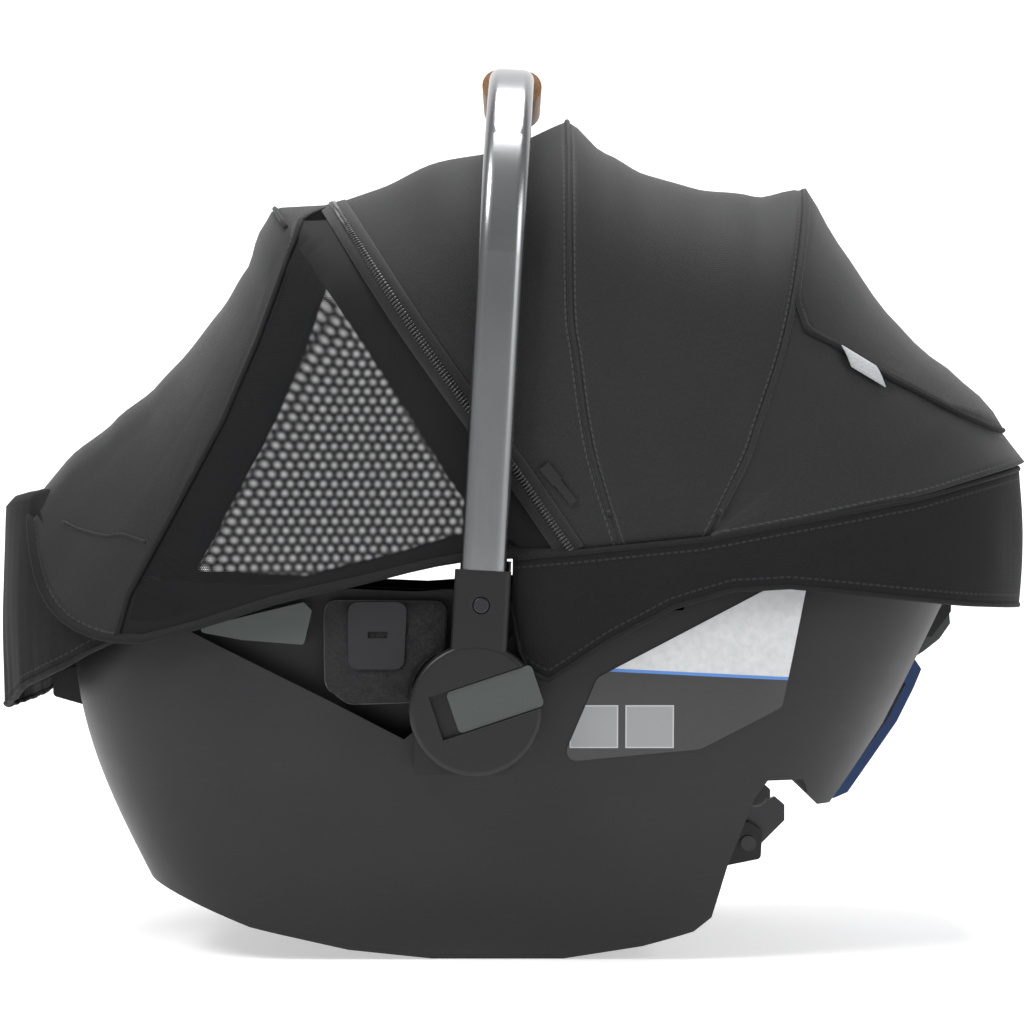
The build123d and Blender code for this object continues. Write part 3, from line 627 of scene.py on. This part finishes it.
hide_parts("vent_flap")
piping = tube("flap_piping", flap_rows[0], 0.0016, "binding")
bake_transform(piping, "carrier", "canopy_rear", start=(PIVOT[0], 0, PIVOT[1]), end=(PIVOT[0], 0, PIVOT[1] + 0.1))
for item in piping.data.attributes["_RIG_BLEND"].data:
    item.value = flap_share[0]

# Blank woven tab on the flap's edge.
edge_near = sorted((p for p in flap_rows[0] if p.y < 0), key=lambda p: abs(p.x - 0.203))[0]
edge_far = sorted((p for p in flap_rows[0] if p.y < 0), key=lambda p: abs(p.x - 0.235))[0]
edge_far = edge_near + (edge_far - edge_near).normalized() * 0.026
TAB_STEP = Vector((0.0015, -0.0005, -0.0032))
tab_rows = []
for n in range(7):
    base = edge_near.lerp(edge_far, n / 6)
    out = (base - Vector((0.10, 0, 0.25))).normalized()
    tab_rows.append([base + out * (0.0020 + 0.0006 * math.sin(k)) + TAB_STEP * k for k in range(5)])
FINISH["tab"] = cloth("tab_finish", (0.30, 0.31, 0.32), (0.47, 0.48, 0.49), 0.0009, use_uv=True)
tab = grid("flap_tab_label", tab_rows, "tab", thickness=0.0009)
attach(tab, "canopy_rear")
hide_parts("flap_tab")

MIDDLE_SAG = [(0, 0), (0.15, 0.0135), (0.33, 0.0195), (0.55, 0.0195), (0.81, 0.013), (1, 0)]
FRONT_SAG = [(0, 0), (0.26, 0.003), (0.57, -0.004), (0.8, 0.0), (1, 0)]


def toward_axis(first, last, steps, sag):
    """Cloth between two bows, drawn in towards the canopy axis."""
    rows = []
    for step in range(steps + 1):
        t = step / steps
        row = []
        for number, (a, b) in enumerate(zip(first, last)):
            point = a.lerp(b, t)
            height = smooth((number - SIDE_STEPS * 0.5) / (SIDE_STEPS * 0.5 + CORNER_STEPS))
            inward = Vector((PIVOT[0] - point.x, 0, PIVOT[1] - point.z)).normalized()
            fold = 4 * t * (1 - t)
            ripple = noise.noise(Vector((point.x * 11, point.y * 7, point.z * 11))) * 0.0022 * fold
            side = Vector((0, 1, 0)) * (1 - height) * 0.03
            row.append(point + (inward * height + side) * table(sag, t) + inward * ripple)
        rows.append(row)
    return [mirrored(row) for row in rows]


rows = toward_axis(middle_seam, rear_seam, ROWS, MIDDLE_SAG)
middle_panel = grid("canopy_middle_cloth", rows, "canopy_cloth")
blend_rows(middle_panel, "canopy_middle", "canopy_rear", len(rows))
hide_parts("canopy_middle_panel")

rows = toward_axis(middle_seam, zip_seam, ROWS, FRONT_SAG)
front_panel = grid("canopy_front_cloth", rows, "canopy_cloth")
blend_rows(front_panel, "canopy_middle", "canopy_front", len(rows))
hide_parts("canopy_front_panel")

for name, seam, body in (("rear_seam_piping", rear_seam, "canopy_rear"),
                         ("middle_seam_piping", middle_seam, "canopy_middle")):
    path = [p + (p - Vector((PIVOT[0], 0, 0.30))).normalized() * 0.0004 for p in mirrored(seam[2:])]
    ridge = tube(name, path, 0.0017, "canopy_cloth")
    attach(ridge, body)

# ------------------------------------------------------------------ zip: tape, coil and slider
zip_line = mirrored(zip_seam)


def outward(point):
    return (point - Vector((0.03, 0, 0.28))).normalized()


def surface_frames(path):
    """Tangent, outward normal and crosswise direction of the cloth at each point of the zip."""
    behind, before = resample(mirrored(middle_seam), len(path)), resample(mirrored(stay_seam), len(path))
    frames = []
    for number, point in enumerate(path):
        ahead = (path[min(number + 1, len(path) - 1)] - path[max(number - 1, 0)]).normalized()
        out = (before[number] - behind[number]).cross(ahead).normalized()
        if out.dot(point - Vector((0.03, 0, 0.24))) < 0:
            out = -out
        frames.append((ahead, out, ahead.cross(out).normalized()))
    return frames


def zip_tape(path, half, lift):
    rows = [[], [], [], []]
    for point, (ahead, out, across) in zip(path, surface_frames(path)):
        for row, place in zip(rows, (-1, -0.33, 0.33, 1)):
            row.append(point + across * half * place + out * lift)
    return rows


tape = grid("zip_tape", zip_tape(zip_line, 0.0085, 0.0014), "zip", thickness=0.0008)
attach(tape, "canopy_front")
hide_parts("canopy_zip")

coil = bpy.data.meshes.new("zip_coil")
made = bmesh.new()
teeth = resample(zip_line, 380)
teeth_frames = surface_frames(teeth)
for number, point in enumerate(teeth[1:-1]):
    ahead, out, across = teeth_frames[number + 1]
    corners = []
    for up, wide, long in ((0, 1.0, 1.0), (1, 0.7, 0.8)):
        for a, b in ((-1, -1), (1, -1), (1, 1), (-1, 1)):
            corner = point + out * (0.0018 + 0.0011 * up)
            corners.append(made.verts.new(corner + across * 0.0026 * a * wide + ahead * 0.00072 * b * long))
    for face in ((0, 1, 5, 4), (1, 2, 6, 5), (2, 3, 7, 6), (3, 0, 4, 7), (4, 5, 6, 7)):
        made.faces.new([corners[k] for k in face])
made.to_mesh(coil)
made.free()
coil = finished("zip_coil_teeth", coil, "teeth")
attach(coil, "canopy_front")

# ------------------------------------------------------------------ drape: solid front, net sides
DRAPE_PROFILE = [(0, 0), (0.06, 0.0014), (0.17, 0.0095), (0.31, 0.014), (0.46, 0.0155), (0.58, 0.0135),
                 (0.72, 0.007), (0.88, 0.0), (1, 0)]
WINDOW_EDGE = line_height([(206, -241), (216.6, -239), (258.6, -220.6), (296, -196.5), (358, -165),
                           (448.5, -133), (475, -128)])      # x at a height: where net meets cloth
STAY_SHARE = 0.14                 # of the drape's length, from the zip to the stay
NET_TOP = SIDE_STEPS + CORNER_STEPS - 5
DRAPE_STEPS = 40


def drape_point(number, t):
    """Point of the drape: t is 0 at the zip, STAY_SHARE at the stay and 1 at the hem."""
    first, second, last = zip_seam[number], stay_seam[number], hem_line[number]
    if t < STAY_SHARE:
        return first.lerp(second, t / STAY_SHARE)
    u = (t - STAY_SHARE) / (1 - STAY_SHARE)
    point = second.lerp(last, u)
    height = smooth((number - SIDE_STEPS) / CORNER_STEPS)
    inward = Vector((0.82, 0, -0.572))
    fold = 4 * u * (1 - u)
    ripple = noise.noise(Vector((point.x * 8 + 3, point.y * 6, point.z * 8))) * 0.0035 * fold
    pleat = noise.noise(Vector((point.y * 34, point.z * 4, 0.4))) * 0.0016 * fold
    side = Vector((0, 1, 0)) * (1 - height) * 0.10
    return point + (inward * height + side) * table(DRAPE_PROFILE, u) + inward * (ripple + pleat)


def window_share(number):
    """Where the net ends on this line of the drape."""
    low, high = 0.0, 1.0
    for _ in range(22):
        middle = (low + high) / 2
        point = drape_point(number, middle) / MM
        if point.x > WINDOW_EDGE(point.z):
            low = middle
        else:
            high = middle
    return low


def hem_share(number):
    """Near the canopy axis the hem is sewn down; further out it lifts with the drape."""
    point = hem_line[number]
    return smooth((math.hypot(point.x - PIVOT[0], point.z - PIVOT[1]) - 0.05) / 0.13)


def drape_weight(number, t):
    return max(0.0, (t - STAY_SHARE) / (1 - STAY_SHARE)) * hem_share(number)


def turned_grid(lines):
    return [list(row) for row in zip(*lines)]


shares = [window_share(n) for n in range(NET_TOP + 1)]
half_lines = []
half_weights = []
for number in range(len(zip_seam)):
    start = shares[number] if number <= NET_TOP else max(0.0, shares[NET_TOP] * (1 - (number - NET_TOP) / 3))
    steps = [start + (1 - start) * n / DRAPE_STEPS for n in range(DRAPE_STEPS + 1)]
    half_lines.append([drape_point(number, t) for t in steps])
    half_weights.append([drape_weight(number, t) for t in steps])
lines = half_lines + [[Vector((p.x, -p.y, p.z)) for p in line] for line in reversed(half_lines[:-1])]
weights = half_weights + list(reversed(half_weights[:-1]))
drape = grid("drape_cloth", turned_grid(lines), "canopy_cloth")
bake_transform(drape, "canopy_front", "canopy_drape", start=(0.08, 0, 0.23), end=(0.08, 0, 0.33))
columns = len(lines)
for number, item in enumerate(drape.data.attributes["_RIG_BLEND"].data):
    r, c = divmod(number, columns)
    item.value = weights[c][r]
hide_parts("drape_panel")

net_pieces = []
for side_name, sign in (("left", 1), ("right", -1)):
    net_lines, net_weights, net_shares = [], [], []
    for number in range(NET_TOP + 1):
        end = shares[number] + 0.004
        steps = [end * n / 24 for n in range(25)]
        net_lines.append([Vector((p.x, p.y * sign, p.z)) + Vector((0.0006, 0.0010 * sign, -0.0004))
                          for p in (drape_point(number, t) for t in steps)])
        net_weights.append([drape_weight(number, t) for t in steps])
        net_shares.append(steps)
    window = grid("drape_net_" + side_name, turned_grid(net_lines), "mesh", thickness=0,
                  open_edges=("last", "ends"))
    window.data.attributes.new("lined", "FLOAT", "POINT")
    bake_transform(window, "canopy_front", "canopy_drape", start=(0.08, 0, 0.23), end=(0.08, 0, 0.33))
    for number, item in enumerate(window.data.attributes["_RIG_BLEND"].data):
        r, c = divmod(number, len(net_lines))
        item.value = net_weights[c][r]
        window.data.attributes["lined"].data[number].value = STAY_SHARE - net_shares[c][r]
    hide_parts("drape_mesh_" + side_name)
    net_pieces.append(window)
    near_bound = [drape_point(n, shares[n] + 0.001) for n in range(NET_TOP + 1)]
    bound = [Vector((p.x, p.y * sign, p.z)) for p in near_bound]
    strip = tube("net_binding_" + side_name, bound, 0.0016, "binding")
    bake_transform(strip, "canopy_front", "canopy_drape", start=(0.08, 0, 0.23), end=(0.08, 0, 0.33))
    for vertex, item in zip(strip.data.vertices, strip.data.attributes["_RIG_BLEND"].data):
        nearest = min(range(len(bound)), key=lambda k: (bound[k] - vertex.co).length)
        item.value = drape_weight(nearest, shares[nearest])

TOE_SEAM = [(-278, 276), (-264, 267), (-250, 263), (-237, 261), (-225, 260)]
for side_name, sign in (("left", 1), ("right", -1)):
    found = []
    for x, z in TOE_SEAM:
        near = min((p for line in half_lines[SIDE_STEPS:] for p in line),
                   key=lambda p: math.hypot(p.x / MM - x, p.z / MM - z) + (300 if p.y > -0.06 else 0))
        found.append((near.x, near.y * sign, near.z))
    raised = [p + outward(p) * 0.0006 for p in spline(found, 24)]
    dart = tube("toe_seam_" + side_name, raised, 0.0011, "canopy_cloth")
    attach(dart, "canopy_drape")

hem = tube("drape_hem_binding", mirrored(hem_line), 0.0036, "binding", flat=0.55)
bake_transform(hem, "canopy_front", "canopy_drape", start=(0.08, 0, 0.23), end=(0.08, 0, 0.33))
for vertex, item in zip(hem.data.vertices, hem.data.attributes["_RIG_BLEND"].data):
    place = Vector((vertex.co.x, -abs(vertex.co.y), vertex.co.z))
    item.value = hem_share(min(range(len(hem_line)), key=lambda k: (hem_line[k] - place).length))
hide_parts("drape_hem")
casing_path = [p + outward(p) * 0.0003 for p in mirrored(stay_seam[NET_TOP - 1:])]
casing = tube("stay_casing", casing_path, 0.0016, "canopy_cloth", flat=0.8)
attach(casing, "canopy_front")
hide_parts("stay_cloth")

# ------------------------------------------------------------------ skirt and boot
SKIRT_LOW = line_height([(0, 232), (2, 202), (10, 183), (22, 177), (60, 202), (96, 221), (133, 232),
                         (169, 234), (278, 223), (330, 220)])


def wrap(name, path, low, high, finish, gather, fold=(), steps=16, bulge=0.0018):
    rows, normals = [], {}
    for step in range(steps + 1):
        t = step / steps
        row = []
        for number, (x, y) in enumerate(path):
            before, after = path[max(number - 1, 0)], path[min(number + 1, len(path) - 1)]
            out = Vector((-(after[1] - before[1]), after[0] - before[0], 0))
            out = -out.normalized() if out.length else Vector((0, -1, 0))
            if out.dot(Vector((x, y, 0)) - Vector((0.05 if x > 0 else -0.15, 0, 0))) < 0:
                out = -out
            z = (low(x / MM) + (high(x / MM) - low(x / MM)) * t) * MM
            soft = noise.noise(Vector((x * 26, y * 26, z * 16))) * 0.0016
            frill = noise.noise(Vector((x * 95, y * 95, 0.7))) * 2.6 * gather * (1 - t) ** 2
            row.append(Vector((x, y, z)) + out * (bulge * 4 * t * (1 - t) + soft * 4 * t * (1 - t) + frill))
            normals[number] = out
        rows.append(row)
    for inward, up in fold:
        rise = Vector((0, 0, up * MM))
        rows.append([p - normals[n] * inward * MM + rise for n, p in enumerate(rows[steps])])
    made = grid(name, rows, finish, thickness=0.0022)
    return made, rows


def plan_path(x_from, corner_x, end_x, half_width, flat, count):
    direction = 1 if end_x > x_from else -1
    radius_x, radius_y = abs(end_x - corner_x), half_width - flat
    points = [Vector((x_from + (corner_x - x_from) * n / 8, -half_width, 0)) for n in range(8)]
    for n in range(17):
        angle = math.pi / 2 * n / 16
        x = corner_x + direction * radius_x * math.sin(angle)
        points.append(Vector((x, -flat - radius_y * math.cos(angle), 0)))
    points += [Vector((end_x, -flat * (1 - n / 4), 0)) for n in range(1, 5)]
    half = resample(points, count)
    return [(p.x * MM, p.y * MM) for p in half] + [(p.x * MM, -p.y * MM) for p in reversed(half[:-1])]


skirt_path = plan_path(0.5, 203, 323, 200, 79, 110)
skirt, skirt_rows = wrap("rear_skirt_cloth", skirt_path, SKIRT_LOW, SKIRT_TOP, "knit", 0.0)
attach(skirt, "carrier")
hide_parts("rear_skirt")
for name, row in (("skirt_hem_upper", skirt_rows[-1]), ("skirt_hem_lower", skirt_rows[0])):
    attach(tube(name, row, 0.0022, "binding", flat=0.8), "carrier")

BOOT_TOP = line_height([(-330, 279), (-317, 284), (-299, 286), (-284, 262), (-262, 240), (-242, 228),
                        (-205, 216)])
BOOT_FOLD = ((4, 4.5), (11, 6.5), (20, 6.5), (30, 5), (38, 1))      # turned in over the rim: in and up, mm
BOOT_LOW = line_height([(-330, 150), (-302, 172), (-277, 184), (-259, 194), (-243, 201), (-207, 207),
                        (-205, 212)])
boot_path = plan_path(-206, -213, -323.5, 184, 72, 110)
boot, boot_rows = wrap("foot_boot_cloth", boot_path, BOOT_LOW, BOOT_TOP, "knit", 0.0007, BOOT_FOLD)
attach(boot, "carrier")
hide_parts("foot_boot")
for name, row in (("boot_hem_upper", boot_rows[-1]), ("boot_hem_lower", boot_rows[0])):
    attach(tube(name, row, 0.0021, "binding", flat=0.85), "carrier")


# ------------------------------------------------------------------ padding, by cloth simulation
PAD_PRESSURE = 4.0
PAD_FRAMES = 20


def padded_from(node_name, finish, voxel=0.005, cap=0.009, shrink=0.0, channels=None, facing=(0, 0, 1)):
    """A CAD pad as a stuffed piece: remeshed, swollen by pressure, then sewn with channels."""
    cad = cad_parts[node_name]
    mesh = cad.data.copy()
    for place in range(len(mesh.materials)):
        mesh.materials[place] = FINISH[finish]
    obj = bpy.data.objects.new(node_name + "_cloth", mesh)
    bpy.context.scene.collection.objects.link(obj)
    obj.data.transform(cad.matrix_world)
    bpy.context.view_layer.objects.active = obj
    remesh = obj.modifiers.new("remesh", "REMESH")
    remesh.mode = "VOXEL"
    remesh.voxel_size = voxel
    remesh.use_smooth_shade = True
    settle(obj)
    if shrink:
        for vertex in obj.data.vertices:
            vertex.co -= vertex.normal * shrink
    start = [v.co.copy() for v in obj.data.vertices]
    soft = obj.modifiers.new("cloth", "CLOTH")
    soft.settings.quality = 5
    soft.settings.mass = 0.2
    soft.settings.tension_stiffness = 12
    soft.settings.compression_stiffness = 12
    soft.settings.use_pressure = True
    soft.settings.uniform_pressure_force = PAD_PRESSURE
    soft.settings.effector_weights.gravity = 0
    soft.point_cache.frame_start, soft.point_cache.frame_end = 1, PAD_FRAMES
    for number in range(1, PAD_FRAMES + 1):
        bpy.context.scene.frame_set(number)
    settle(obj)
    bpy.context.scene.frame_set(1)
    for vertex, was in zip(obj.data.vertices, start):
        moved = vertex.co - was
        if moved.length > cap:
            vertex.co = was + moved.normalized() * cap
        if channels is not None:
            vertex.co -= vertex.normal * channels(was) * vertex.normal.dot(Vector(facing)) ** 2
    for face in obj.data.polygons:
        face.use_smooth = True
    settle_level = obj.modifiers.new("smooth", "SUBSURF")
    settle_level.levels = settle_level.render_levels = 1
    obj.data.materials.clear()
    obj.data.materials.append(FINISH[finish])
    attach(obj, "carrier")
    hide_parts(node_name)
    return obj


def settle(obj):
    """Bake the modifiers of an object into its mesh."""
    graph = bpy.context.evaluated_depsgraph_get()
    baked = bpy.data.meshes.new_from_object(obj.evaluated_get(graph), depsgraph=graph)
    obj.modifiers.clear()
    obj.data = baked


def channel(value, spacing, depth, width):
    """Sewn channel lines at equal spacing."""
    off = abs((value / spacing) % 1.0 - 0.5) * spacing
    return depth * math.exp(-(off / width) ** 2)


padded_from("seat_pad", "pad_cloth", voxel=0.007, cap=0.004, shrink=0.002,
            channels=lambda p: channel(p.x + 0.02, 0.060, 0.0022, 0.004))
padded_from("infant_insert", "insert_cloth", voxel=0.005, cap=0.006, shrink=0.003,
            channels=lambda p: channel(p.y, 0.058, 0.0026, 0.004))
padded_from("head_support", "insert_cloth", voxel=0.005, cap=0.006, shrink=0.003)
padded_from("shoulder_pads", "pad_cloth", voxel=0.003, cap=0.003, shrink=0.001)
padded_from("crotch_strap", "pad_cloth", voxel=0.003, cap=0.003, shrink=0.0008)


def quilt(p):
    return channel(p.x + p.z, 0.019, 0.0011, 0.0016) + channel(p.x - p.z, 0.019, 0.0011, 0.0016)


for side_name in ("left", "right"):
    padded_from("side_wing_" + side_name, "pad_cloth", voxel=0.0027, cap=0.002, shrink=0.0006, channels=quilt,
                facing=(0, 1, 0))


def strap_from(node_name):
    """Webbing: the strap's own ribbon with rolled selvedges."""
    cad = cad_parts[node_name]
    mesh = cad.data.copy()
    obj = bpy.data.objects.new(node_name + "_webbing", mesh)
    bpy.context.scene.collection.objects.link(obj)
    mesh.transform(cad.matrix_world)
    mesh.materials.clear()
    mesh.materials.append(FINISH["webbing"])
    rounded_edge = obj.modifiers.new("selvedge", "BEVEL")
    rounded_edge.width = 0.0006
    rounded_edge.segments = 3
    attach(obj, "carrier")
    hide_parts(node_name)


strap_from("shoulder_straps")
strap_from("adjuster_strap")

# ------------------------------------------------------------------ sheets
for piece, width, rests in (
        (rear_panel, 0.50, ["canopy_bow_rear", "rear_skirt_cloth"]), (flap, 0.50, ["canopy_rear_cloth"]),
        (middle_panel, 0.82, ["canopy_bow_middle", "canopy_bow_rear"]),
        (front_panel, 0.80, ["canopy_bow_middle", "canopy_bow_front"]),
        (drape, 0.60, ["drape_stay", "foot_boot_cloth"]), (net_pieces[0], 0.30, ["drape_stay"]),
        (net_pieces[1], 0.30, ["drape_stay"]), (skirt, 0.95, ["outer_shell"]), (boot, 0.55, ["outer_shell"])):
    declare(piece, width, rests_on=rests)

# ------------------------------------------------------------------ floor, light, camera
floor_mesh = bpy.data.meshes.new("floor")
sweep = bmesh.new()
profile = [(-6.0, 0.0), (1.6, 0.0), *[(1.6 + 1.2 * math.sin(a), 1.2 - 1.2 * math.cos(a)) for a in
           (math.pi / 2 * n / 16 for n in range(1, 17))], (2.8, 5.0)]
ends = [[sweep.verts.new((x, y, z - 0.0004)) for y, z in profile] for x in (-8, 8)]
for number in range(len(profile) - 1):
    sweep.faces.new((ends[0][number], ends[0][number + 1], ends[1][number + 1], ends[1][number]))
sweep.to_mesh(floor_mesh)
sweep.free()
backdrop = bpy.data.objects.new("backdrop", floor_mesh)
bpy.context.scene.collection.objects.link(backdrop)
paper, _, paper_shader = material("paper", (0.86, 0.86, 0.86), 0.9)
paper_shader.inputs["Emission Color"].default_value = (1, 1, 1, 1)
paper_shader.inputs["Emission Strength"].default_value = 0.50
floor_mesh.materials.append(paper)
for face in floor_mesh.polygons:
    face.use_smooth = True

world = bpy.data.worlds.new("studio")
bpy.context.scene.world = world
world.use_nodes = True
world.node_tree.nodes["Background"].inputs["Color"].default_value = (1, 1, 1, 1)
world.node_tree.nodes["Background"].inputs["Strength"].default_value = 0.30


def lamp(name, place, aim, size, power):
    data = bpy.data.lights.new(name, "AREA")
    data.shape = "RECTANGLE"
    data.size, data.size_y = size
    data.energy = power
    made = bpy.data.objects.new(name, data)
    bpy.context.scene.collection.objects.link(made)
    made.location = place
    made.rotation_mode = "QUATERNION"
    made.rotation_quaternion = (Vector(aim) - Vector(place)).to_track_quat("-Z", "Y")


lamp("key", (-1.3, -1.5, 1.9), (0, 0, 0.25), (0.9, 0.9), 40)
lamp("fill", (1.8, -1.3, 1.0), (0, 0, 0.25), (1.4, 1.0), 16)
lamp("top", (0.1, 0.0, 2.3), (0, 0, 0.25), (1.4, 1.0), 46)

camera = bpy.data.cameras.new("camera")
camera.lens, camera.sensor_width = 118.4, 36.0
camera.clip_start, camera.clip_end = 0.05, 50
camera_object = bpy.data.objects.new("camera", camera)
bpy.context.scene.collection.objects.link(camera_object)
camera_object.location = (0, -2.24, 0.279)
camera_object.rotation_euler = (math.pi / 2, 0, 0)
bpy.context.scene.camera = camera_object
bpy.context.scene.view_settings.view_transform = "Standard"
